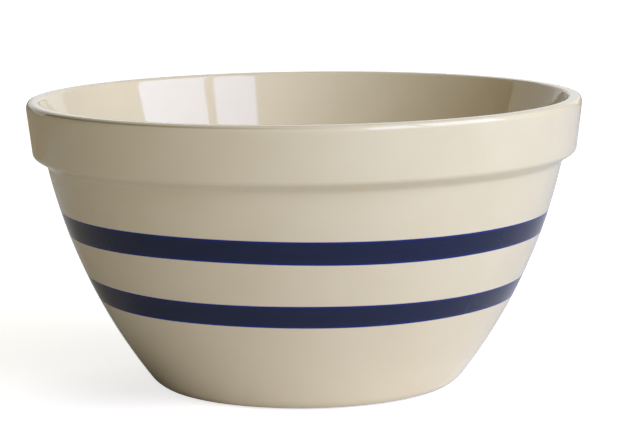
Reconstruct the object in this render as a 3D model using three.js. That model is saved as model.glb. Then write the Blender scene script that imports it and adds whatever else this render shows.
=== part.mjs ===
// A stoneware mixing bowl: one jiggered clay body with a thick collar at its rim, glazed cream inside and
// out, with two cobalt bands melted into the outside glaze and a dry foot ring to stand on.
// Millimetres, +Z up. The origin is the centre of the foot, on the surface that the bowl stands on.
import * as THREE from "three";

// The finished bowl, measured over its glaze
const RIM_DIAMETER = 254.5; // across the collar's top edge, before that edge is rounded
const HEIGHT = 131.4; // table to lip
const LIP_THICKNESS = 6.5;

// The clay body
const FOOT_DIAMETER = 137; // where the outside of the wall would meet the table if its edge were sharp
const WALL_BULGE = 6.6; // how far the wall bows out of a straight cone
const WALL_THICKNESS = 5.2;
const FLOOR_THICKNESS = 6.4;
const COLLAR_HEIGHT = 23.5; // top of the clay to the collar's lower edge
const COLLAR_TAPER = 2.7; // how much the collar's radius shrinks from its top to its lower edge
const COLLAR_STEP = 6.2; // how far the collar's lower edge stands out from the wall
const COVE_DROP = 3.9; // height of the slope that leads back from that edge to the wall
const FOOT_RING_WIDTH = 13; // from the foot's outside to the hollow under the floor
const RECESS_DEPTH = 2.2; // height of that hollow above the table
const RECESS_RUN = 4; // width of the slope round the hollow

// Rounded edges of the clay
const LIP_ROUND = 2.1;
const COLLAR_EDGE_ROUND = 3;
const COVE_ROUND = 4.5;
const THROAT_ROUND = 60; // inside, where the wall opens into the collar
const FLOOR_ROUND = 24;
const FOOT_ROUND = 13;

// Glaze and cobalt
const GROUND_GLAZE = 0.25; // glaze left between the clay and a band
const BAND_DEPTH = 0.2; // thickness of the cobalt layer
const BAND_WIDTH = 11.15; // measured along the wall, as is the space between the bands
const BAND_SPACING = 21.4;
const LOWER_BAND_RISE = 42; // table to the lower band's lower edge
const GLAZE_LINE = 1; // table to the lowest glaze, above the dry foot ring

// Clearances between layers that are melted together
const BOND_GAP = 0.1; // clay to glaze
const BAND_GAP = 0.05; // cobalt to the glaze round it
const SEAM_GAP = 0.1; // outside coat to liner, on the lip's crest

// Facets
const SEGMENTS = 48; // round the bowl
const FACET_ERROR = 0.12; // largest distance between an arc and its chords

const GLAZE = GROUND_GLAZE + BAND_GAP + BAND_DEPTH;
const COAT = BOND_GAP + GLAZE;

const CLAY_FINISH = { color: 0xc8b496, roughness: 0.9, metalness: 0 };
const CREAM_FINISH = { color: 0xe4dac4, roughness: 0.12, metalness: 0 };
const COBALT_FINISH = { color: 0x262b4e, roughness: 0.15, metalness: 0 };

const at = (radius, height) => new THREE.Vector2(radius, height);

// Points along an arc, from its start angle to its end angle.
function arcPoints({ centre, radius, start, end }) {
  const largestStep = 2 * Math.acos(1 - Math.min(FACET_ERROR / radius, 1));
  const steps = Math.ceil(Math.abs(end - start) / largestStep);
  return Array.from({ length: steps + 1 }, (_, i) => {
    const angle = THREE.MathUtils.lerp(start, end, i / steps);
    return at(radius * Math.cos(angle), radius * Math.sin(angle)).add(centre);
  });
}

// The circle through two points of the wall that bows out by bulge from the line between them.
function bowThrough(low, high, bulge) {
  const chord = high.clone().sub(low);
  const half = chord.length() / 2;
  const radius = (half * half + bulge * bulge) / (2 * bulge);
  const inward = at(-chord.y, chord.x).normalize();
  const middle = low.clone().lerp(high, 0.5);
  return { centre: middle.addScaledVector(inward, radius - bulge), radius };
}

// The angle on a bow's circle of the point at a height.
const angleAt = (bow, height) => Math.asin((height - bow.centre.y) / bow.radius);

// The height that is reached by going a distance along a bow from a height.
function climb(bow, height, distance) {
  return bow.centre.y + bow.radius * Math.sin(angleAt(bow, height) + distance / bow.radius);
}

// The arc that rounds the corner between a level line and the bow that rises from it.
function bottomRound(bow, level, radius) {
  const rise = level + radius - bow.centre.y;
  const reach = Math.sqrt((bow.radius - radius) ** 2 - rise ** 2);
  const centre = bow.centre.clone().add(at(reach, rise));
  return { centre, radius, start: -Math.PI / 2, end: Math.atan2(rise, reach) };
}

// A bow's points from its bottom round up to a height, the round's included.
function wallPoints(bow, level, round, height) {
  const bottom = bottomRound(bow, level, round);
  const rising = { ...bow, start: bottom.end, end: angleAt(bow, height) };
  return [...arcPoints(bottom), ...arcPoints(rising).slice(1)];
}

// A line through corners of the form [point, round], each round corner drawn as an arc.
function roundedLine(corners) {
  return corners.flatMap(([point, radius], i) => {
    if (!radius) return [point];
    const back = corners[i - 1][0].clone().sub(point).normalize();
    const ahead = corners[i + 1][0].clone().sub(point).normalize();
    const half = back.angleTo(ahead) / 2;
    const middle = back.clone().add(ahead).normalize();
    const centre = point.clone().addScaledVector(middle, radius / Math.sin(half));
    const start = point.clone().addScaledVector(back, radius / Math.tan(half)).sub(centre).angle();
    const sweep = (Math.PI - 2 * half) * Math.sign(ahead.cross(back));
    return arcPoints({ centre, radius, start, end: start + sweep });
  });
}

// The same line moved sideways off the clay, to the right of the way it runs, with mitred corners.
function offCoat(line, distance) {
  const normals = line.slice(1).map((p, i) => at(p.y - line[i].y, line[i].x - p.x).normalize());
  return line.map((p, i) => {
    const before = normals[Math.max(i - 1, 0)];
    const after = normals[Math.min(i, normals.length - 1)];
    const mitre = before.clone().add(after);
    return p.clone().addScaledVector(mitre, distance / (1 + before.dot(after)));
  });
}

// The stretch of a line that lies between two heights.
function clip(line, low, high) {
  return line.flatMap((p, i) => {
    const kept = p.y >= low && p.y <= high ? [p] : [];
    const next = line[i + 1] ?? p;
    const limits = next.y > p.y ? [low, high] : [high, low];
    const crossed = limits.filter((z) => (z - p.y) * (z - next.y) < 0);
    return [...kept, ...crossed.map((z) => p.clone().lerp(next, (z - p.y) / (next.y - p.y)))];
  });
}

// A layer's closed outline: out along its face and back along its bed.
function layer(face, bed) {
  return [...face, ...bed.toReversed(), face[0]];
}

function turned(name, outline, finish) {
  const mesh = new THREE.Mesh(
    new THREE.LatheGeometry(outline, SEGMENTS),
    new THREE.MeshStandardMaterial(finish),
  );
  mesh.name = name;
  return mesh;
}

// Corners of the clay's half section
const clayTop = HEIGHT - COAT;
const rimOuter = at(RIM_DIAMETER / 2 - COAT, clayTop);
const clayLip = LIP_THICKNESS - 2 * COAT;
const rimInner = at(rimOuter.x - clayLip, clayTop);
const seamOuter = at((rimOuter.x + rimInner.x + SEAM_GAP) / 2, clayTop);
const seamInner = at((rimOuter.x + rimInner.x - SEAM_GAP) / 2, clayTop);
const lipRound = Math.min(LIP_ROUND, (clayLip - 2 * SEAM_GAP) / 2);
const collarEdge = at(rimOuter.x - COLLAR_TAPER, clayTop - COLLAR_HEIGHT);
const cove = at(collarEdge.x - COLLAR_STEP, collarEdge.y - COVE_DROP);
const footCorner = at(FOOT_DIAMETER / 2, 0);
const ringEdge = at(footCorner.x - FOOT_RING_WIDTH, 0);
const recessEdge = at(ringEdge.x - RECESS_RUN, RECESS_DEPTH);
const floorTop = RECESS_DEPTH + FLOOR_THICKNESS;

// The wall's two faces are concentric bows.
const outerBow = bowThrough(footCorner, cove, WALL_BULGE);
const innerBow = { centre: outerBow.centre, radius: outerBow.radius - WALL_THICKNESS };
const outerWall = wallPoints(outerBow, 0, FOOT_ROUND, cove.y).slice(0, -1);
const [throat, ...innerWall] = wallPoints(innerBow, floorTop, FLOOR_ROUND, cove.y).toReversed();

// The half section runs out under the floor, up the outside, over the lip and down to the floor.
const clay = roundedLine([
  [at(0, RECESS_DEPTH)],
  [recessEdge],
  [ringEdge],
  ...outerWall.map((p) => [p]),
  [cove, COVE_ROUND],
  [collarEdge, COLLAR_EDGE_ROUND],
  [rimOuter, lipRound],
  [seamOuter],
  [seamInner],
  [rimInner, lipRound],
  [throat, THROAT_ROUND],
  ...innerWall.map((p) => [p]),
  [at(0, floorTop)],
]);
const underside = clay.slice(0, clay.indexOf(ringEdge) + 1);
const outside = clay.slice(clay.indexOf(ringEdge), clay.indexOf(seamOuter) + 1);
const inside = clay.slice(clay.indexOf(seamInner));

// Each coat lies between its bed, next to the clay, and its face.
const outerFace = offCoat(outside, COAT);
const outerBed = offCoat(outside, BOND_GAP);
const channelBed = offCoat(outside, BOND_GAP + GROUND_GLAZE);
const bandBed = offCoat(outside, BOND_GAP + GROUND_GLAZE + BAND_GAP);

// A band's lower and upper edges, as heights.
const glazedBow = { centre: outerBow.centre, radius: outerBow.radius + COAT };
const bandFrom = (low) => ({ low, high: climb(glazedBow, low, BAND_WIDTH) });
const lowerBand = bandFrom(LOWER_BAND_RISE);
const upperBand = bandFrom(climb(glazedBow, lowerBand.high, BAND_SPACING));

const coatStretch = (from, to) => clip(outerFace, from, to);
const channel = ({ low, high }) => clip(channelBed, low - BAND_GAP, high + BAND_GAP);
const outerCoatFace = [
  ...coatStretch(GLAZE_LINE, lowerBand.low - BAND_GAP),
  ...channel(lowerBand),
  ...coatStretch(lowerBand.high + BAND_GAP, upperBand.low - BAND_GAP),
  ...channel(upperBand),
  ...coatStretch(upperBand.high + BAND_GAP, Infinity),
];
const bandOutline = ({ low, high }) => layer(clip(outerFace, low, high), clip(bandBed, low, high));

// The liner and the coat under the floor meet the axis, so their outlines start and end there.
const linerOutline = [...offCoat(inside, BOND_GAP).toReversed(), ...offCoat(inside, COAT)];
const baseFace = clip(offCoat(underside, COAT), GLAZE_LINE, RECESS_DEPTH);
const baseBed = clip(offCoat(underside, BOND_GAP), GLAZE_LINE, RECESS_DEPTH);

const bowl = new THREE.Group();
bowl.add(
  turned("stoneware_body", clay, CLAY_FINISH),
  turned("outer_glaze", layer(outerCoatFace, clip(outerBed, GLAZE_LINE, Infinity)), CREAM_FINISH),
  turned("inner_glaze", linerOutline, CREAM_FINISH),
  turned("upper_band", bandOutline(upperBand), COBALT_FINISH),
  turned("lower_band", bandOutline(lowerBand), COBALT_FINISH),
  turned("base_glaze", [...baseFace, ...baseBed.toReversed()], CREAM_FINISH),
);
bowl.rotation.x = Math.PI / 2; // the sections are turned about Y, and the bowl stands along Z

export default bowl;
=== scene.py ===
"""A banded stoneware mixing bowl on a plain white floor, beside a window of two panes.

Sizes in the classes below are millimetres, and angles are degrees. Blender works in metres and radians.
A section is the bowl's outline in a half plane through its axis, as points of radius and height.
A bearing is a level direction from the bowl, as degrees to the right of straight towards the camera.
"""

import logging
import math
from dataclasses import dataclass
from enum import Enum
from functools import cached_property
from typing import Any, NamedTuple, Sequence

import bpy
from mathutils import Matrix, Vector


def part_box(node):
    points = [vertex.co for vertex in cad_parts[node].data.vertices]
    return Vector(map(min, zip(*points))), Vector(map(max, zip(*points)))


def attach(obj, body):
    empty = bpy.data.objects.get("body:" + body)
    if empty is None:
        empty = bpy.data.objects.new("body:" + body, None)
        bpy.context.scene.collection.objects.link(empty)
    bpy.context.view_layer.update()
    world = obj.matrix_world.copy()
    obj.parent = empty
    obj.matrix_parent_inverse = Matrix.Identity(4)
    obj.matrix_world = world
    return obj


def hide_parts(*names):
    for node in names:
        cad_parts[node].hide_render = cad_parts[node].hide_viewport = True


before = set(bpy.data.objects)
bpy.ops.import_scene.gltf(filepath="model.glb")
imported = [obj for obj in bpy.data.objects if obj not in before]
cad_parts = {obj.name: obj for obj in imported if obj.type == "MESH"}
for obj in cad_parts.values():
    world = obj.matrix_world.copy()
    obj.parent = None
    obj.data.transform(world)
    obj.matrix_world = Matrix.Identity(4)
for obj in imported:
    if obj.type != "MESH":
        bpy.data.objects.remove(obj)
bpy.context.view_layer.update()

log = logging.getLogger("bowl")

MM = 0.001
BODY = "root"
TURN_STEPS = 192  # faces round the bowl
ARC_ERROR = 0.005  # largest distance between an arc of a section and its chords
LONGEST_RUN = 2.5  # longest straight edge of a section
WELD = 0.01  # points of a turned piece that are this close are one
SHARP_ANGLE = 40.0  # edges that turn more than this stay crisp
ACROSS = "across"  # a band's attribute: the distance from its lower edge, along the wall
UP = Vector((0, 0, 1))
RIGHT_ANGLE = 90.0
LAMP_POWER = 4.0  # watts of an area lamp of 1 square metre that looks as bright as plain white

# A Mix node's sockets for colours
FIRST_COLOUR = 6
SECOND_COLOUR = 7
MIXED_COLOUR = 2

Line = list[Vector]
Colour = tuple[float, float, float, float]
PlanPoint = tuple[float, float]  # a place on the floor's plan
Tree = bpy.types.NodeTree
Socket = bpy.types.NodeSocket


class Slot(str, Enum):
    """The record's material slots."""

    CLAY = "stoneware_clay"
    CREAM = "cream_glaze"
    COBALT = "cobalt_glaze"


class Rays(str, Enum):
    """The light paths that see a white background, as outputs of the Light Path node."""

    CAMERA = "Is Camera Ray"
    GLOSSY = "Is Glossy Ray"
    TRANSMISSION = "Is Transmission Ray"


def linear(hex_code: str) -> Colour:
    """Turns an sRGB colour into the linear one that shaders use.

    Args:
        hex_code: The colour as #rrggbb.

    Returns:
        Linear red, green and blue, and an alpha of 1.
    """
    parts = [int(hex_code[i : i + 2], 16) / 255 for i in (1, 3, 5)]
    red, green, blue = (c / 12.92 if c <= 0.04045 else ((c + 0.055) / 1.055) ** 2.4 for c in parts)
    return red, green, blue, 1.0


def per_metre(size: float) -> float:
    """Gives the texture scale whose pattern repeats about every size millimetres."""
    return 1 / (size * MM)


def new_material(name: str) -> tuple[bpy.types.Material, Tree]:
    """Makes a node material with nothing in it.

    Args:
        name: The material's name.

    Returns:
        The material and its node tree.
    """
    material = bpy.data.materials.new(name)
    material.use_nodes = True
    material.node_tree.nodes.clear()
    return material, material.node_tree


def add_node(
    tree: Tree, kind: str, inputs: dict[Any, Any] | None = None, **settings: Any
) -> bpy.types.Node:
    """Adds a shader node, sets it up and links it.

    Args:
        tree: The node tree to add to.
        kind: Blender's name for the kind of node.
        inputs: What goes into the node's sockets, by name or number: a value, or a socket to link.
        settings: The node's own properties.

    Returns:
        The new node.
    """
    node = tree.nodes.new(kind)
    for name, value in settings.items():
        setattr(node, name, value)
    for key, value in (inputs or {}).items():
        if isinstance(value, Socket):
            tree.links.new(value, node.inputs[key])
        else:
            node.inputs[key].default_value = value
    return node


def object_place(tree: Tree) -> Socket:
    """Adds a socket that gives each point's place on its object."""
    return add_node(tree, "ShaderNodeTexCoord").outputs["Object"]


def maths(tree: Tree, operation: str, *terms: Socket | float) -> Socket:
    """Adds a socket that gives the result of a sum, by Blender's name for its operation."""
    return add_node(tree, "ShaderNodeMath", dict(enumerate(terms)), operation=operation).outputs[0]


def measure(tree: Tree, operation: str, *vectors: Socket | Vector) -> Socket:
    """Adds a socket that gives a number worked out from vectors, by Blender's name for its operation."""
    node = add_node(tree, "ShaderNodeVectorMath", dict(enumerate(vectors)), operation=operation)
    return node.outputs["Value"]


def ramp(
    tree: Tree, value: Socket, start: float, end: float, low: float = 0.0, high: float = 1.0
) -> Socket:
    """Adds a ramp between two values that is level beyond them.

    Args:
        tree: The node tree to add to.
        value: The socket that gives the value.
        start: The value at which the ramp starts.
        end: The value at which it ends.
        low: What it gives at its start.
        high: What it gives at its end.

    Returns:
        A socket that gives the ramp's height.
    """
    inputs = {"Value": value, "From Min": start, "From Max": end, "To Min": low, "To Max": high}
    return add_node(tree, "ShaderNodeMapRange", inputs).outputs["Result"]


def mixed(tree: Tree, share: Socket, first: Socket | Colour, second: Socket | Colour) -> Socket:
    """Mixes two colours.

    Args:
        tree: The node tree to add to.
        share: How much of the second colour shows.
        first: The first colour.
        second: The second colour.

    Returns:
        A socket that gives the mixed colour.
    """
    inputs = {"Factor": share, FIRST_COLOUR: first, SECOND_COLOUR: second}
    return add_node(tree, "ShaderNodeMix", inputs, data_type="RGBA").outputs[MIXED_COLOUR]


def noise(tree: Tree, place: Socket, size: float, detail: float) -> Socket:
    """Adds an uneven pattern.

    Args:
        tree: The node tree to add to.
        place: The socket that gives each point's place.
        size: The size of the pattern's lumps.
        detail: How many finer patterns are laid over them.

    Returns:
        A socket that gives the pattern, from 0 to 1.
    """
    inputs = {"Vector": place, "Scale": per_metre(size), "Detail": detail}
    return add_node(tree, "ShaderNodeTexNoise", inputs).outputs["Fac"]


def bumps(tree: Tree, pattern: Socket, height: float, under: Socket | None = None) -> Socket:
    """Raises a surface by a pattern.

    Args:
        tree: The node tree to add to.
        pattern: The socket that gives the pattern, from 0 to 1.
        height: How high its bumps are.
        under: The normals of the surface that they lie on, if it is bumpy too.

    Returns:
        A socket that gives the normals.
    """
    inputs = {"Height": pattern, "Distance": height * MM, "Strength": 1.0}
    if under is not None:
        inputs["Normal"] = under
    return add_node(tree, "ShaderNodeBump", inputs).outputs["Normal"]


def sees_white(tree: Tree, gloss_share: float) -> Socket:
    """Finds the rays that see the background as white, and not as what lights the bowl.

    Args:
        tree: The node tree to add to.
        gloss_share: How much of that white the glaze reflects.

    Returns:
        A socket that is 1 for rays from the camera and through glass, gloss_share for reflected rays
        and 0 for the others.
    """
    path = add_node(tree, "ShaderNodeLightPath").outputs
    straight = maths(tree, "MAXIMUM", path[Rays.CAMERA.value], path[Rays.TRANSMISSION.value])
    reflected = maths(tree, "MULTIPLY", path[Rays.GLOSSY.value], gloss_share)
    return maths(tree, "MAXIMUM", straight, reflected)


@dataclass(frozen=True)
class Circle:
    """A circle in the section's plane."""

    centre: Vector
    radius: float

    def at(self, angle: float) -> Vector:
        """Gives the point at an angle, in radians."""
        return self.centre + self.radius * Vector((math.cos(angle), math.sin(angle)))

    def angle_at(self, height: float) -> float:
        """Gives the angle, in radians, of the point at a height on the side away from the axis."""
        return math.asin((height - self.centre.y) / self.radius)

    def run_to(self, height: float) -> float:
        """Gives the distance along the circle from the centre's level to a height."""
        return self.radius * self.angle_at(height)

    def arc(self, start: float, end: float) -> Line:
        """Draws part of the circle.

        Args:
            start: The angle of the first point, in radians.
            end: The angle of the last point.

        Returns:
            Points close enough for the arc to look round.
        """
        step = 2 * math.acos(1 - min(ARC_ERROR / self.radius, 1))
        longest = min(step, LONGEST_RUN / self.radius)
        steps = math.ceil(abs(end - start) / longest)
        return [self.at(start + (end - start) * i / steps) for i in range(steps + 1)]

    def rounded_from(self, level: float, radius: float, top: float) -> Line:
        """Draws a wall along the circle, with a rounded corner where it leaves a level line.

        Args:
            level: The height of the level line.
            radius: The radius of the rounded corner.
            top: The height that the wall goes up to.

        Returns:
            The points, from the level line upwards.
        """
        rise = level + radius - self.centre.y
        reach = math.sqrt((self.radius - radius) ** 2 - rise**2)
        corner = Circle(self.centre + Vector((reach, rise)), radius)
        end = math.atan2(rise, reach)
        return corner.arc(-math.pi / 2, end) + self.arc(end, self.angle_at(top))[1:]


def bowed_through(low: Vector, high: Vector, bulge: float) -> Circle:
    """Finds the circle that a bowed wall follows.

    Args:
        low: A point of the wall.
        high: A point further up.
        bulge: How far the wall bows out of the straight line between them.

    Returns:
        The circle through both points.
    """
    chord = high - low
    half = chord.length / 2
    radius = (half**2 + bulge**2) / (2 * bulge)
    inward = Vector((-chord.y, chord.x)).normalized()
    return Circle((low + high) / 2 + inward * (radius - bulge), radius)


def rounded_line(corners: Sequence[tuple[Vector, float]]) -> Line:
    """Draws a line through corners, with arcs for those that are rounded.

    Args:
        corners: Each corner and the radius that rounds it, or 0 for a sharp one.

    Returns:
        The line's points.
    """
    line: Line = []
    for i, (point, radius) in enumerate(corners):
        if not radius:
            line.append(point)
            continue
        back = (corners[i - 1][0] - point).normalized()
        ahead = (corners[i + 1][0] - point).normalized()
        half = back.angle(ahead) / 2
        centre = point + (back + ahead).normalized() * (radius / math.sin(half))
        first = point + back * (radius / math.tan(half)) - centre
        start = math.atan2(first.y, first.x)
        sweep = math.copysign(math.pi - 2 * half, ahead.cross(back))
        line += Circle(centre, radius).arc(start, start + sweep)
    return line


def split_runs(line: Line) -> Line:
    """Splits the long straight stretches of a line, so that shading stays true beside them.

    Args:
        line: The line.

    Returns:
        The line with more points.
    """
    split = line[:1]
    for here, there in zip(line, line[1:]):
        parts = math.ceil((there - here).length / LONGEST_RUN)
        split += [here.lerp(there, i / parts) for i in range(1, parts + 1)]
    return split


def off_line(line: Line, distance: float) -> Line:
    """Moves a line sideways, to the right of the way it runs, with mitred corners.

    Args:
        line: The line.
        distance: How far it moves.

    Returns:
        The moved line.
    """
    sides = [Vector((q.y - p.y, p.x - q.x)).normalized() for p, q in zip(line, line[1:])]
    befores = sides[:1] + sides
    afters = sides + sides[-1:]
    return [p + (a + b) * (distance / (1 + a.dot(b))) for p, a, b in zip(line, befores, afters)]


def between(line: Line, low: float, high: float) -> Line:
    """Cuts out the stretch of a line that lies between two heights.

    Args:
        line: The line.
        low: The lower height.
        high: The upper height.

    Returns:
        The stretch, with a point at each height that the line crosses.
    """
    kept: Line = []
    for here, there in zip(line, line[1:] + line[-1:]):
        if low <= here.y <= high:
            kept.append(here)
        limits = (low, high) if there.y > here.y else (high, low)
        for limit in limits:
            if (limit - here.y) * (limit - there.y) < 0:
                kept.append(here.lerp(there, (limit - here.y) / (there.y - here.y)))
    return kept


def turned(name: str, outline: Line) -> bpy.types.Object:
    """Turns an outline about the bowl's axis.

    Args:
        name: The piece's name.
        outline: The section. It is closed, or it starts and ends on the axis.

    Returns:
        The turned piece, with its faces pointing outwards.
    """
    steps = [outline[0]] + [there - here for here, there in zip(outline, outline[1:])]
    moves = [(step.x * MM, 0, step.y * MM) for step in steps]
    bpy.ops.object.select_all(action="DESELECT")
    bpy.ops.mesh.primitive_plane_add(size=MM)
    piece = bpy.context.object
    piece.name = piece.data.name = name
    bpy.ops.object.mode_set(mode="EDIT")
    bpy.ops.mesh.merge(type="CENTER")
    bpy.ops.transform.translate(value=moves[0])
    for move in moves[1:]:
        bpy.ops.mesh.extrude_region_move(TRANSFORM_OT_translate={"value": move})
    bpy.ops.mesh.select_all(action="SELECT")
    bpy.ops.mesh.spin(steps=TURN_STEPS, angle=math.tau, center=(0, 0, 0), axis=UP)
    bpy.ops.mesh.select_all(action="SELECT")
    bpy.ops.mesh.remove_doubles(threshold=WELD * MM)
    bpy.ops.mesh.normals_make_consistent(inside=False)
    bpy.ops.object.mode_set(mode="OBJECT")
    bpy.ops.object.shade_smooth_by_angle(angle=math.radians(SHARP_ANGLE))
    return piece


@dataclass(frozen=True)
class BrushEdge:
    """How one edge of a painted band strays from its height as the bowl turns under the brush."""

    rise: float = 0.0  # how far up it is all round
    lean: float = 0.0  # how far it is up at the bowl's right and down at its left
    ripple: float = 0.0  # height of its waves
    waves: int = 0  # how many of them go round the bowl
    phase: float = 0.0  # where they start

    def stray(self, azimuth: float) -> float:
        """Gives how far up the edge is, along the wall, at an azimuth in radians."""
        ripple = self.ripple * math.sin(self.waves * azimuth + math.radians(self.phase))
        return self.rise + self.lean * math.sin(azimuth) + ripple


@dataclass(frozen=True)
class BandPlace:
    """Where a painted band runs round the wall."""

    node: str
    lower_edge: BrushEdge
    upper_edge: BrushEdge

    @property
    def low(self) -> float:
        """The height of its lower edge, before it strays."""
        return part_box(self.node)[0][2] / MM

    @property
    def high(self) -> float:
        """The height of its upper edge, before it strays."""
        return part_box(self.node)[1][2] / MM


UPPER_BAND = BandPlace(
    "upper_band",
    lower_edge=BrushEdge(rise=-0.85, lean=-1.06, ripple=-0.45, waves=4),
    upper_edge=BrushEdge(rise=-0.98, lean=-1.43, ripple=-0.22, waves=4),
)
LOWER_BAND = BandPlace(
    "lower_band",
    lower_edge=BrushEdge(rise=-0.1, lean=-0.65, ripple=-0.2, waves=5),
    upper_edge=BrushEdge(lean=-1.4, ripple=0.2, waves=5, phase=90),
)


class WallSpot(NamedTuple):
    """Where a point lies in or on the wall."""

    azimuth: float  # radians round the bowl, from the camera's side
    run: float  # distance along the glazed wall, from the level of its circle's centre
    reach: float  # distance from that centre


@dataclass(frozen=True)
class BowlSection:
    """The half section of the clay, and the lines that the glaze on it follows."""

    rim_diameter: float = 253.2  # over the glaze, before the edge is rounded
    height: float = 131.4  # over the glaze
    lip_thickness: float = 6.5  # over the glaze
    glaze: float = 0.6  # thickness of the coats
    cobalt: float = 0.2  # thickness of the bands
    foot_diameter: float = 137.0  # where the wall would meet the floor if its edge were sharp
    wall_bulge: float = 6.6  # how far the wall bows out of a straight cone
    wall_thickness: float = 5.2
    floor_thickness: float = 6.4
    collar_height: float = 23.5  # from the clay's top to the collar's lower corner
    collar_taper: float = 2.7  # how far that corner lies inside the top one
    collar_step: float = 6.2  # how far it stands out from the wall
    cove_drop: float = 3.9  # height of the slope from it to the wall
    foot_ring_width: float = 13.0  # from the foot's outside to the hollow under the floor
    recess_depth: float = 2.2  # height of that hollow
    recess_run: float = 4.0  # width of the slope round it
    lip_round: float = 1.0
    lip_slope_drop: float = 1.7  # height of the slope round the lip's outer edge
    lip_slope_run: float = 0.95  # how far in it leads
    lip_slope_round: float = 2.6
    collar_edge_round: float = 2.2
    cove_round: float = 3.5
    throat_round: float = 60.0  # inside, where the wall opens into the collar
    throat_reach: float = 4.0  # how far down the wall that round may reach
    floor_round: float = 24.0
    foot_round: float = 13.0
    glaze_line: float = 1.0  # lowest height that the glaze reaches
    stray_low: float = 20.0  # heights on the wall where the strays of the bands' edges have died out
    stray_high: float = 100.0

    @cached_property
    def rim_outer(self) -> Vector:
        """The clay's top outer corner."""
        return Vector((self.rim_diameter / 2 - self.glaze, self.height - self.glaze))

    @cached_property
    def rim_inner(self) -> Vector:
        """The clay's top inner corner."""
        return self.rim_outer - Vector((self.lip_thickness - 2 * self.glaze, 0))

    @cached_property
    def seam(self) -> Vector:
        """The middle of the lip, where the outer coat and the liner flow together."""
        return (self.rim_outer + self.rim_inner) / 2

    @cached_property
    def lip_slope(self) -> Vector:
        """The collar's upper corner, from which a slope leads in to the lip."""
        return self.rim_outer.lerp(self.collar_edge, self.lip_slope_drop / self.collar_height)

    @cached_property
    def collar_edge(self) -> Vector:
        """The collar's lower corner."""
        return self.rim_outer - Vector((self.collar_taper, self.collar_height))

    @cached_property
    def cove(self) -> Vector:
        """The corner between the slope under the collar and the wall."""
        return self.collar_edge - Vector((self.collar_step, self.cove_drop))

    @cached_property
    def ring_edge(self) -> Vector:
        """The foot ring's inner corner."""
        return Vector((self.foot_diameter / 2 - self.foot_ring_width, 0))

    @cached_property
    def floor_top(self) -> float:
        """The height of the clay's floor inside the bowl."""
        return self.recess_depth + self.floor_thickness

    @cached_property
    def wall(self) -> Circle:
        """The circle that the outside of the clay's wall follows."""
        return bowed_through(Vector((self.foot_diameter / 2, 0)), self.cove, self.wall_bulge)

    @cached_property
    def glazed_wall(self) -> Circle:
        """The circle that the outside of the glazed wall follows."""
        return Circle(self.wall.centre, self.wall.radius + self.glaze)

    @cached_property
    def underside(self) -> Line:
        """The clay under the floor, from the axis out to the foot ring."""
        recess_edge = Vector((self.ring_edge.x - self.recess_run, self.recess_depth))
        return split_runs([Vector((0, self.recess_depth)), recess_edge, self.ring_edge])

    @cached_property
    def outside(self) -> Line:
        """Draws the clay's outside.

        Returns:
            The line from the foot ring up to the middle of the lip.
        """
        wall = self.wall.rounded_from(0, self.foot_round, self.cove.y)[:-1]
        corners = [(self.ring_edge, 0)] + [(point, 0) for point in wall]
        corners += [
            (self.cove, self.cove_round),
            (self.collar_edge, self.collar_edge_round),
            (self.lip_slope, self.lip_slope_round),
            (self.rim_outer - Vector((self.lip_slope_run, 0)), self.lip_round),
            (self.seam, 0),
        ]
        return split_runs(rounded_line(corners))

    @cached_property
    def inside(self) -> Line:
        """Draws the clay's inside.

        Returns:
            The line from the middle of the lip down to the axis.
        """
        bow = Circle(self.wall.centre, self.wall.radius - self.wall_thickness)
        throat, *wall = reversed(bow.rounded_from(self.floor_top, self.floor_round, self.cove.y))
        corners = [(self.seam, 0), (self.rim_inner, self.lip_round), (throat, self.throat_round)]
        corners += [(point, 0) for point in wall if (point - throat).length > self.throat_reach]
        return split_runs(rounded_line(corners) + [Vector((0, self.floor_top))])

    @cached_property
    def clay(self) -> Line:
        """The whole of the clay's half section."""
        return self.underside + self.outside[1:] + self.inside[1:]

    @cached_property
    def outer_face(self) -> Line:
        """The outer coat's face, which the bands are flush with."""
        return off_line(self.outside, self.glaze)

    @cached_property
    def band_bed(self) -> Line:
        """The line in the outer coat that the bands lie on."""
        return off_line(self.outside, self.glaze - self.cobalt)

    def spot(self, place: Vector) -> WallSpot:
        """Finds where a point lies in or on the wall.

        Args:
            place: The point, in metres.

        Returns:
            Its place in the wall's own terms.
        """
        x, y, z = place / MM
        arm = Vector((math.hypot(x, y), z)) - self.glazed_wall.centre
        run = self.glazed_wall.radius * math.atan2(arm.y, arm.x)
        return WallSpot(math.atan2(x, -y), run, arm.length)

    def stray(self, piece: bpy.types.Object) -> None:
        """Slides a piece's points along the wall, by how far the brush strayed there.

        Args:
            piece: The piece.
        """
        wall = self.glazed_wall
        knots = [(wall.run_to(self.stray_low), BrushEdge())]
        for place in (LOWER_BAND, UPPER_BAND):
            knots.append((wall.run_to(place.low), place.lower_edge))
            knots.append((wall.run_to(place.high), place.upper_edge))
        knots.append((wall.run_to(self.stray_high), BrushEdge()))
        for vertex in piece.data.vertices:
            azimuth, run, reach = self.spot(vertex.co)
            for (low, lower), (high, upper) in zip(knots, knots[1:]):
                if low <= run < high:
                    part = (run - low) / (high - low)
                    slide = (1 - part) * lower.stray(azimuth) + part * upper.stray(azimuth)
                    moved = Circle(wall.centre, reach).at((run + slide) / wall.radius)
                    x = moved.x * math.sin(azimuth)
                    y = -moved.x * math.cos(azimuth)
                    vertex.co = Vector((x, y, moved.y)) * MM


SECTION = BowlSection()


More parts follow.
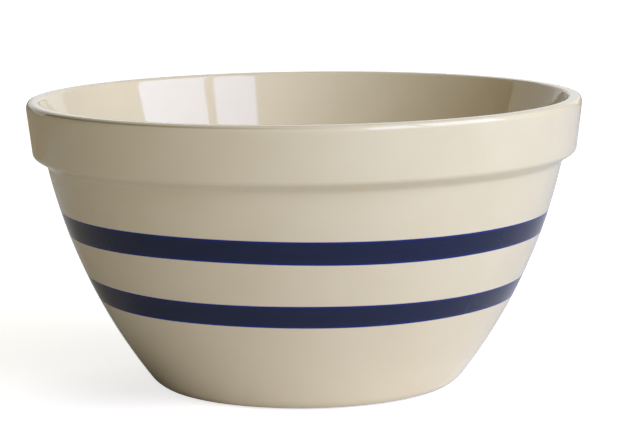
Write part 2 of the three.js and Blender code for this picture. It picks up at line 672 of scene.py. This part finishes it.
@dataclass(frozen=True)
class CreamGlaze:
    """Glossy cream stoneware glaze, dipped and fired to glass.

    It gives the eye a warm white that is a little uneven in depth, a wet gloss with a slight
    waviness, a few brown iron specks from the clay and a browner line at the lip's edge where it
    ran thin, which fades out towards the window and so is painted shade as well.
    """

    name: str = "cream stoneware glaze"
    thick: str = "#e5d6b2"
    thin: str = "#e2d2ad"
    speck: str = "#7a6444"
    # the browner colour of the lip line: thin glaze, and painted shade on the side away from the window
    bare: str = "#8a7748"
    cloud: float = 28.0  # size of its paler and darker clouds
    cloud_detail: float = 3.0
    cloud_start: float = 0.3  # the noise's values at which the glaze is thin and thick
    cloud_end: float = 0.7
    speck_spacing: float = 15.0
    speck_size: float = 0.3
    speck_core: float = 1 / 3  # the part of a speck that has its full colour
    speck_share: float = 0.3  # share of the places that have a speck
    smooth: float = 0.04  # roughness, least and most
    dull: float = 0.09
    ior: float = 1.5
    wave: float = 32.0  # length of the surface's waves
    wave_height: float = 0.08
    peel: float = 2.2  # grain of its fine ripple
    peel_height: float = 0.004
    ripple_detail: float = 1.0
    lip_shade_line: float = 0.0  # how far the clay shows through where the glaze ran off the lip's edge, with painted shade on the side away from the window
    lip_line_height: float = 130.4
    lip_line_width: float = 1.2
    lip_line_start: float = 30.0  # this far to the right of the bowl's axis the line starts to show
    lip_line_end: float = -70.0  # and from here to the left, away from the window, it shows in full as painted shade

    def specks(self, tree: Tree, place: Socket) -> Socket:
        """Strews the iron specks.

        Args:
            tree: The node tree to add to.
            place: The socket that gives each point's place.

        Returns:
            A socket that is 1 in a speck and 0 between them.
        """
        inputs = {"Vector": place, "Scale": per_metre(self.speck_spacing)}
        cells = add_node(tree, "ShaderNodeTexVoronoi", inputs).outputs
        reach = self.speck_size / self.speck_spacing
        near = ramp(tree, cells["Distance"], reach, reach * self.speck_core)
        chosen = maths(tree, "LESS_THAN", cells["Color"], self.speck_share)
        return maths(tree, "MULTIPLY", near, chosen)

    def thin_glaze_shade_line(self, tree: Tree, place: Socket) -> Socket:
        """Draws the line along the lip's outer edge: thin glaze, painted darker as painted shade on the
        side away from the window.

        Args:
            tree: The node tree to add to.
            place: The socket that gives each point's place.

        Returns:
            A socket that gives how far the clay and the painted shade show through.
        """
        parts = add_node(tree, "ShaderNodeSeparateXYZ", {0: place}).outputs
        above = maths(tree, "SUBTRACT", parts["Z"], self.lip_line_height * MM)
        off = maths(tree, "ABSOLUTE", above)
        line = ramp(tree, off, self.lip_line_width / 2 * MM, 0.0)
        start, end = self.lip_line_start * MM, self.lip_line_end * MM
        # painted shade: the line fades out towards the window's side
        fade = ramp(tree, parts["X"], start, end, high=self.lip_shade_line)
        return maths(tree, "MULTIPLY", line, fade)

    @cached_property
    def material(self) -> bpy.types.Material:
        """Makes the glaze's nodes.

        Returns:
            The material.
        """
        material, tree = new_material(self.name)
        place = object_place(tree)
        clouds = noise(tree, place, self.cloud, self.cloud_detail)
        depth = ramp(tree, clouds, self.cloud_start, self.cloud_end)
        body = mixed(tree, depth, linear(self.thin), linear(self.thick))
        specked = mixed(tree, self.specks(tree, place), body, linear(self.speck))
        waves = noise(tree, place, self.wave, self.ripple_detail)
        waved = bumps(tree, waves, self.wave_height)
        peel = noise(tree, place, self.peel, self.ripple_detail)
        shader = add_node(
            tree,
            "ShaderNodeBsdfPrincipled",
            {
                # the browner lip line is thin glaze and painted shade
                "Base Color": mixed(tree, self.thin_glaze_shade_line(tree, place), specked, linear(self.bare)),
                "Roughness": ramp(tree, clouds, 0.0, 1.0, self.smooth, self.dull),
                "IOR": self.ior,
                "Normal": bumps(tree, peel, self.peel_height, waved),
            },
        )
        add_node(tree, "ShaderNodeOutputMaterial", {"Surface": shader.outputs["BSDF"]})
        return material


@dataclass(frozen=True)
class CobaltGlaze:
    """Cobalt brushed on in two bands and melted into the cream glaze.

    It gives the eye a blue so deep that it is nearly black, brighter where it thins out at the
    edges, with faint streaks along the brush's way and the gloss of the glaze.
    """

    width: float  # the band's
    name: str = "cobalt banding glaze"
    deep: str = "#151d34"
    streak: str = "#1b2443"
    fringe: str = "#0e2884"
    fringe_width: float = 1.2
    fringe_wander: float = 0.5  # how far the fringe's inner edge wanders
    streak_width: float = 1.6
    streak_length: float = 60.0
    streak_detail: float = 3.0
    smooth: float = 0.04  # roughness, least and most
    dull: float = 0.1
    ior: float = 1.5
    gloss: float = 0.25
    wave: float = 32.0  # length of the surface's waves
    wave_height: float = 0.08
    wave_detail: float = 1.0

    @cached_property
    def material(self) -> bpy.types.Material:
        """Makes the cobalt's nodes.

        Returns:
            The material.
        """
        material, tree = new_material(self.name)
        place = object_place(tree)
        parts = add_node(tree, "ShaderNodeSeparateXYZ", {0: place}).outputs
        across = add_node(tree, "ShaderNodeAttribute", attribute_name=ACROSS).outputs["Fac"]
        lift = maths(tree, "MULTIPLY", across, MM * self.streak_length / self.streak_width)
        along = add_node(tree, "ShaderNodeCombineXYZ", {"X": parts["X"], "Y": parts["Y"], "Z": lift})
        streaks = noise(tree, along.outputs[0], self.streak_length, self.streak_detail)
        body = mixed(tree, streaks, linear(self.deep), linear(self.streak))
        inset = maths(tree, "PINGPONG", across, self.width / 2)
        uneven = maths(tree, "MULTIPLY_ADD", streaks, self.fringe_wander, inset)
        edge = self.fringe_wander / 2
        thin = ramp(tree, uneven, edge + self.fringe_width, edge)
        waves = noise(tree, place, self.wave, self.wave_detail)
        shader = add_node(
            tree,
            "ShaderNodeBsdfPrincipled",
            {
                "Base Color": mixed(tree, thin, body, linear(self.fringe)),
                "Roughness": ramp(tree, streaks, 0.0, 1.0, self.smooth, self.dull),
                "IOR": self.ior,
                "Specular IOR Level": self.gloss,
                "Normal": bumps(tree, waves, self.wave_height),
            },
        )
        add_node(tree, "ShaderNodeOutputMaterial", {"Surface": shader.outputs["BSDF"]})
        return material


@dataclass(frozen=True)
class BareStoneware:
    """Fired stoneware clay that was wiped clean of glaze.

    It gives the eye a dry buff surface with a sandy grain and darker grits.
    """

    name: str = "bare stoneware"
    pale: str = "#cdb999"
    dark: str = "#b49c78"
    grain: float = 1.5
    grain_height: float = 0.05
    grain_detail: float = 4.0
    roughness: float = 0.9

    @cached_property
    def material(self) -> bpy.types.Material:
        """Makes the clay's nodes.

        Returns:
            The material.
        """
        material, tree = new_material(self.name)
        grain = noise(tree, object_place(tree), self.grain, self.grain_detail)
        shader = add_node(
            tree,
            "ShaderNodeBsdfPrincipled",
            {
                "Base Color": mixed(tree, grain, linear(self.dark), linear(self.pale)),
                "Roughness": self.roughness,
                "Normal": bumps(tree, grain, self.grain_height),
            },
        )
        add_node(tree, "ShaderNodeOutputMaterial", {"Surface": shader.outputs["BSDF"]})
        return material


def fit(piece: bpy.types.Object, node: str, material: bpy.types.Material) -> None:
    """Dresses a finished piece and puts it in its node's place.

    Args:
        piece: The piece.
        node: The CAD node that it stands for.
        material: The material.
    """
    piece.data.materials.append(material)
    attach(piece, BODY)
    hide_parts(node)
    log.info("%s: %d faces, for %s", piece.name, len(piece.data.polygons), node)


@dataclass(frozen=True)
class ClayBody:
    """The jiggered clay: floor, wall, collar, lip and foot ring in one."""

    finish: BareStoneware
    node: str = "stoneware_body"

    def build(self) -> None:
        """Turns the clay and dresses it."""
        piece = turned("clay_body", SECTION.clay)
        fit(piece, self.node, self.finish.material)


@dataclass(frozen=True)
class OuterCoat:
    """The cream coat outside, from the foot to the middle of the lip, with a channel for each band."""

    finish: CreamGlaze
    node: str = "outer_glaze"

    def outline(self) -> Line:
        """Draws the coat's section.

        Returns:
            The closed outline.
        """
        top = SECTION.height + WELD
        face = between(SECTION.outer_face, SECTION.glaze_line, LOWER_BAND.low)
        face += between(SECTION.band_bed, LOWER_BAND.low, LOWER_BAND.high)
        face += between(SECTION.outer_face, LOWER_BAND.high, UPPER_BAND.low)
        face += between(SECTION.band_bed, UPPER_BAND.low, UPPER_BAND.high)
        face += between(SECTION.outer_face, UPPER_BAND.high, top)
        bed = between(SECTION.outside, SECTION.glaze_line, top)
        return face + bed[::-1] + face[:1]

    def build(self) -> None:
        """Turns the coat, lets its channels stray with the brush and dresses it."""
        piece = turned("outer_coat", self.outline())
        SECTION.stray(piece)
        fit(piece, self.node, self.finish.material)


@dataclass(frozen=True)
class Liner:
    """The cream coat inside, from the middle of the lip down to the floor."""

    finish: CreamGlaze
    node: str = "inner_glaze"

    def build(self) -> None:
        """Turns the liner and dresses it."""
        face = off_line(SECTION.inside, SECTION.glaze)
        piece = turned("liner", SECTION.inside[::-1] + face)
        fit(piece, self.node, self.finish.material)


@dataclass(frozen=True)
class PaintedBand:
    """A cobalt band, flush with the glaze round it."""

    place: BandPlace
    name: str

    def build(self) -> None:
        """Turns the band, lets its edges stray with the brush and dresses it."""
        low, high = self.place.low, self.place.high
        face = between(SECTION.outer_face, low, high)
        bed = between(SECTION.band_bed, low, high)
        piece = turned(self.name, face + bed[::-1] + face[:1])
        start = SECTION.glazed_wall.run_to(low)
        width = SECTION.glazed_wall.run_to(high) - start
        across = piece.data.attributes.new(ACROSS, "FLOAT", "POINT")
        for vertex, mark in zip(piece.data.vertices, across.data):
            mark.value = SECTION.spot(vertex.co).run - start
        SECTION.stray(piece)
        fit(piece, self.place.node, CobaltGlaze(width).material)


@dataclass(frozen=True)
class BaseCoat:
    """The cream coat in the hollow under the floor."""

    finish: CreamGlaze
    node: str = "base_glaze"

    def build(self) -> None:
        """Turns the coat and dresses it."""
        low, high = SECTION.glaze_line, SECTION.recess_depth
        face = between(off_line(SECTION.underside, SECTION.glaze), low, high)
        bed = between(SECTION.underside, low, high)
        piece = turned("base_coat", face + bed[::-1])
        fit(piece, self.node, self.finish.material)


@dataclass(frozen=True)
class WhiteFloor:
    """The pale paper that the bowl stands on, white to the camera apart from the bowl's shadow.

    Away from the window it is painted buff as painted shade, and beside the foot there it has a darker
    patch of painted shadow; both send less and warmer light up to the bowl's shaded side.
    """

    size: float = 12000.0
    colour: str = "#f9f8f8"
    # painted shade on the side away from the window
    buff: str = "#e4dfd0"
    buff_start: float = 0.0  # this far to the right of the bowl's axis its painted shade starts
    buff_end: float = -200.0  # and from here to the left the painted shade is full
    # painted shadow beside the foot, on the side away from the window
    dull: str = "#988f83"
    shadow_middle: tuple[float, float, float] = (-80.0, -25.0, 0.0)  # the painted shadow is darkest here
    shadow_reach: float = 60.0  # and less so up to this far away
    glow: float = 0.76  # added for the camera, up to white
    gloss_share: float = 0.02  # the part of that which the glaze reflects
    foot_glow: float = 0.25  # lights the foot, which only a view from below shows
    foot_reach: float = 62.0  # the foot covers the floor this far out

    def paper(self, tree: Tree, place: Socket) -> Socket:
        """Colours the paper, with painted shade away from the window and a painted shadow beside the
        foot.

        Args:
            tree: The node tree to add to.
            place: The socket that gives each point's place.

        Returns:
            A socket that gives the colour.
        """
        across = add_node(tree, "ShaderNodeSeparateXYZ", {0: place}).outputs["X"]
        # painted shade: buff on the side away from the window
        shaded_side = ramp(tree, across, self.buff_start * MM, self.buff_end * MM)
        clean = mixed(tree, shaded_side, linear(self.colour), linear(self.buff))
        # painted shadow beside the foot
        off = measure(tree, "DISTANCE", place, Vector(self.shadow_middle) * MM)
        near = ramp(tree, off, self.shadow_reach * MM, 0.0)
        return mixed(tree, near, clean, linear(self.dull))

    def shine(self, tree: Tree, place: Socket) -> Socket:
        """Works out the light that the floor adds to what it reflects.

        Args:
            tree: The node tree to add to.
            place: The socket that gives each point's place.

        Returns:
            A socket that gives the light's strength.
        """
        seen = maths(tree, "MULTIPLY", sees_white(tree, self.gloss_share), self.glow)
        under = maths(tree, "LESS_THAN", measure(tree, "LENGTH", place), self.foot_reach * MM)
        return maths(tree, "MULTIPLY_ADD", under, self.foot_glow, seen)

    def build(self) -> None:
        """Lays the floor. From below it is clear, so that the bowl's foot can be seen."""
        material, tree = new_material("white paper floor")
        place = object_place(tree)
        lit = add_node(tree, "ShaderNodeBsdfDiffuse", {"Color": self.paper(tree, place)})
        white = add_node(tree, "ShaderNodeEmission", {"Strength": self.shine(tree, place)})
        above = add_node(tree, "ShaderNodeAddShader", {0: lit.outputs[0], 1: white.outputs[0]})
        clear = add_node(tree, "ShaderNodeBsdfTransparent")
        below = add_node(tree, "ShaderNodeNewGeometry").outputs["Backfacing"]
        sides = {0: below, 1: above.outputs[0], 2: clear.outputs[0]}
        both = add_node(tree, "ShaderNodeMixShader", sides)
        add_node(tree, "ShaderNodeOutputMaterial", {"Surface": both.outputs[0]})
        bpy.ops.object.select_all(action="DESELECT")
        bpy.ops.mesh.primitive_plane_add(size=self.size * MM)
        floor = bpy.context.object
        floor.name = "floor"
        floor.data.materials.append(material)


def direction(bearing: float, rise: float = 0.0) -> Vector:
    """Gives a direction from the bowl.

    Args:
        bearing: Its bearing.
        rise: Its angle above the level.

    Returns:
        The direction, of length 1.
    """
    level = math.cos(math.radians(rise))
    across = level * math.sin(math.radians(bearing))
    towards_camera = level * math.cos(math.radians(bearing))
    return Vector((across, -towards_camera, math.sin(math.radians(rise))))


@dataclass(frozen=True)
class SoftLight:
    """Light from one side of the room, which fades out all round its brightest place."""

    bearing: float  # of that place
    rise: float  # its angle above the level
    bright: float  # strength there
    end: float  # cosine of the angle from there at which the light has faded out

    def strength(self, tree: Tree, way: Socket) -> Socket:
        """Adds a socket that gives the light's strength from each way that the light can come."""
        towards = measure(tree, "DOT_PRODUCT", way, direction(self.bearing, self.rise))
        return ramp(tree, towards, self.end, 1.0, high=self.bright)


@dataclass(frozen=True)
class Room:
    """The room's soft light, strongest from the window's side, and a white backdrop for the camera."""

    colour: str = "#fffaf0"
    backdrop: str = "#ffffff"
    gloss_share: float = 0.0  # the glaze reflects the room, the window and the cards instead
    window_side: SoftLight = SoftLight(bearing=43.0, rise=12.0, bright=1.13, end=0.0)
    behind: SoftLight = SoftLight(bearing=165.0, rise=0.0, bright=0.45, end=0.2)

    def build(self) -> None:
        """Sets up the world."""
        world = bpy.data.worlds.new("room")
        world.use_nodes = True
        tree = world.node_tree
        tree.nodes.clear()
        way = add_node(tree, "ShaderNodeTexCoord").outputs["Generated"]
        lights = [light.strength(tree, way) for light in (self.window_side, self.behind)]
        total = maths(tree, "ADD", *lights)
        room = add_node(tree, "ShaderNodeBackground", {"Color": linear(self.colour), "Strength": total})
        white = add_node(tree, "ShaderNodeBackground", {"Color": linear(self.backdrop), "Strength": 1.0})
        seen = sees_white(tree, self.gloss_share)
        both = add_node(tree, "ShaderNodeMixShader", {0: seen, 1: room.outputs[0], 2: white.outputs[0]})
        add_node(tree, "ShaderNodeOutputWorld", {"Surface": both.outputs[0]})
        bpy.context.scene.world = world


@dataclass(frozen=True)
class Pane:
    """One pane of the window, by the bearings and elevations between which the bowl sees it."""

    name: str
    near_side: float
    far_side: float
    sill: float
    head: float


@dataclass(frozen=True)
class Window:
    """Two tall panes with a mullion between them, to the bowl's right."""

    facing: float = 57.0  # its bearing from the bowl
    distance: float = 2000.0
    level: float = 100.0  # the height that the panes' elevations are seen from
    radiance: float = 5.25
    colour: str = "#bbceff"
    panes: tuple[Pane, ...] = (
        Pane("near_pane", near_side=25, far_side=47, sill=14, head=40),
        Pane("far_pane", near_side=52, far_side=88, sill=14, head=40),
    )

    def hang(self, pane: Pane) -> None:
        """Hangs an area lamp in the opening of one pane.

        Args:
            pane: The pane.
        """
        sides = (pane.near_side - self.facing, pane.far_side - self.facing)
        start, end = (math.tan(math.radians(side)) for side in sides)
        sill, head = (math.tan(math.radians(edge)) for edge in (pane.sill, pane.head))
        ahead = direction(self.facing)
        along = direction(self.facing + RIGHT_ANGLE)
        middle = ahead + along * (start + end) / 2 + UP * (sill + head) / 2
        place = middle * self.distance + UP * self.level
        lamp = bpy.data.lights.new(pane.name, "AREA")
        lamp.shape = "RECTANGLE"
        lamp.size = self.distance * (end - start) * MM
        lamp.size_y = self.distance * (head - sill) * MM
        lamp.energy = LAMP_POWER * self.radiance * lamp.size * lamp.size_y
        lamp.color = linear(self.colour)[:3]
        holder = bpy.data.objects.new(pane.name, lamp)
        facing = Matrix((along, UP, ahead)).transposed()
        holder.matrix_world = Matrix.Translation(place * MM) @ facing.to_4x4()
        holder.visible_camera = False
        bpy.context.scene.collection.objects.link(holder)

    def build(self) -> None:
        """Hangs both panes."""
        for pane in self.panes:
            self.hang(pane)


@dataclass(frozen=True)
class Card:
    """A plain card behind the bowl that only the glaze's reflections show."""

    name: str
    colour: str
    radiance: float
    bottom: float
    top: float
    left: PlanPoint
    right: PlanPoint

    def build(self) -> None:
        """Hangs the card upright between its left and right ends."""
        material, tree = new_material(self.name)
        inputs = {"Color": linear(self.colour), "Strength": self.radiance}
        glow = add_node(tree, "ShaderNodeEmission", inputs)
        add_node(tree, "ShaderNodeOutputMaterial", {"Surface": glow.outputs[0]})
        left = Vector((*self.left, self.bottom)) * MM
        right = Vector((*self.right, self.bottom)) * MM
        up = UP * (self.top - self.bottom) * MM
        across = right - left
        facing = Matrix((across, up, across.cross(up).normalized())).transposed()
        bpy.ops.object.select_all(action="DESELECT")
        bpy.ops.mesh.primitive_plane_add(size=1)
        card = bpy.context.object
        card.name = self.name
        card.matrix_world = Matrix.Translation((left + right + up) / 2) @ facing.to_4x4()
        card.data.materials.append(material)
        card.visible_camera = False
        card.visible_diffuse = False
        card.visible_shadow = False


@dataclass(frozen=True)
class BackWall:
    """What the glaze reflects of the room's far side: a pale wall over a dark skirting, as cards."""

    skirting: str = "#ffe8c8"
    paint: str = "#ffffff"
    bright: float = 1.0  # radiance of the wall
    grey: float = 0.8  # its radiance at the left
    dark: float = 0.33  # radiance of the skirting
    skirting_top: float = 170.0
    middle: float = 450.0  # above this the wall is seen only to the right
    top: float = 1500.0
    side: PlanPoint = (-760.0, -30.0)  # the skirting's end, round the corner at the left
    corner: PlanPoint = (-535.0, 347.0)
    grey_end: PlanPoint = (-190.0, 567.5)
    high_start: PlanPoint = (0.0, 689.0)  # where the wall above the middle starts
    right: PlanPoint = (900.0, 1264.0)

    def build(self) -> None:
        """Hangs the cards."""
        wall = (self.skirting_top, self.middle)
        high = (self.middle, self.top)
        low = (0.0, self.skirting_top)
        Card("white_card", self.paint, self.bright, *wall, self.grey_end, self.right).build()
        Card("high_card", self.paint, self.bright, *high, self.high_start, self.right).build()
        Card("grey_card", self.paint, self.grey, *wall, self.corner, self.grey_end).build()
        Card("dark_card", self.skirting, self.dark, *low, self.corner, self.right).build()
        Card("dark_side_card", self.skirting, self.dark, *low, self.side, self.corner).build()


@dataclass(frozen=True)
class LongLens:
    """The camera: a long lens that looks a little down on the bowl."""

    eye: tuple[float, float, float] = (0.0, -1078.4, 237.8)
    focal_length: float = 135.94
    film_width: float = 36.0
    pan: float = 0.191  # to the right
    tilt: float = 8.747  # downwards
    roll: float = -0.73  # anticlockwise

    def build(self) -> None:
        """Sets up the camera and makes it the scene's own."""
        pan, tilt, roll = (math.radians(angle) for angle in (self.pan, self.tilt, self.roll))
        level = Vector((math.sin(pan), math.cos(pan), 0))
        ahead = level * math.cos(tilt) - UP * math.sin(tilt)
        right = Vector((math.cos(pan), -math.sin(pan), 0))
        up = right.cross(ahead)
        turned_right = right * math.cos(roll) + up * math.sin(roll)
        turned_up = up * math.cos(roll) - right * math.sin(roll)
        facing = Matrix((turned_right, turned_up, -ahead)).transposed()
        lens = bpy.data.cameras.new("long_lens")
        lens.sensor_fit = "HORIZONTAL"
        lens.sensor_width = self.film_width
        lens.lens = self.focal_length
        camera = bpy.data.objects.new("long_lens", lens)
        camera.matrix_world = Matrix.Translation(Vector(self.eye) * MM) @ facing.to_4x4()
        bpy.context.scene.collection.objects.link(camera)
        bpy.context.scene.camera = camera


def main() -> None:
    """Builds the bowl, the floor it stands on, the light and the camera."""
    logging.basicConfig(level=logging.INFO, format="%(name)s: %(message)s")
    bpy.context.scene.view_settings.view_transform = "Standard"
    cream = CreamGlaze()
    # the outer coat's lip line is thin glaze and painted shade on the side away from the window
    lip_shaded_cream = CreamGlaze(name="cream stoneware glaze, thin at the lip, with painted shade", lip_shade_line=0.8)
    ClayBody(BareStoneware()).build()
    OuterCoat(lip_shaded_cream).build()
    Liner(cream).build()
    PaintedBand(UPPER_BAND, "upper_cobalt_band").build()
    PaintedBand(LOWER_BAND, "lower_cobalt_band").build()
    BaseCoat(cream).build()
    WhiteFloor().build()
    Room().build()
    Window().build()
    BackWall().build()
    LongLens().build()


if __name__ == "__main__":
    main()
